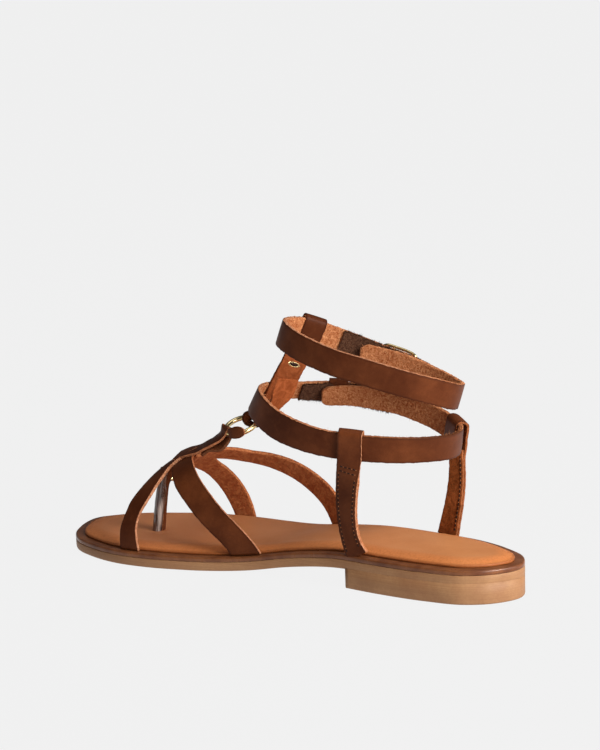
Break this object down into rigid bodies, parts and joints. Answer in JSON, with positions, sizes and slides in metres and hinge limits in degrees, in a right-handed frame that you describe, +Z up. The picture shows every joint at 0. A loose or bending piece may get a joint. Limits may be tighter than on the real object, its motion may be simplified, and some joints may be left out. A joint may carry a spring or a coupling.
{
  "type": "toe post sandal",
  "caption": "Flat leather toe post sandal with crossed instep straps, a T strap on a metal ring, two ankle straps with buckles, and a low stacked heel.",
  "frame": {"origin": "centre of the bounding box at the plane the sole stands on", "axes": "+Y towards the toe along the sole, +Z up, +X towards the outer side of the foot"},
  "size_m": [0.0851, 0.249, 0.1188],
  "materials": {
    "outsole": "matt moulded rubber in a tan, stacked-leather look, with fine lines round the heel",
    "welt": "smooth dark brown leather with a polished edge",
    "insole": "smooth orange-tan leather over a thin pad",
    "strap_leather": "smooth dark brown face, tan nap on the inside, pale cut edges",
    "post_sleeve": "glossy dark brown sleeve",
    "touch_fastener": "dark brown hook and loop fabric",
    "gold_metal": "pale gold plated metal"
  },
  "bodies": {
    "root": {"outsole": "outsole", "welt": "welt", "insole": "insole", "forefoot_straps": "strap_leather", "toe_post": "post_sleeve", "toe_post_strip": "strap_leather", "toe_post_stud": "gold_metal", "ring": "gold_metal", "t_strap": "strap_leather", "eyelet": "gold_metal", "heel_strap_inner": "strap_leather", "heel_strap_outer": "strap_leather", "ankle_strap_lower": "strap_leather", "ankle_strap_upper": "strap_leather", "touch_fastener_lower": "touch_fastener", "touch_fastener_upper": "touch_fastener", "keeper_lower": "strap_leather", "buckle_lower": "gold_metal", "buckle_upper": "gold_metal"}
  },
  "joints": []
}
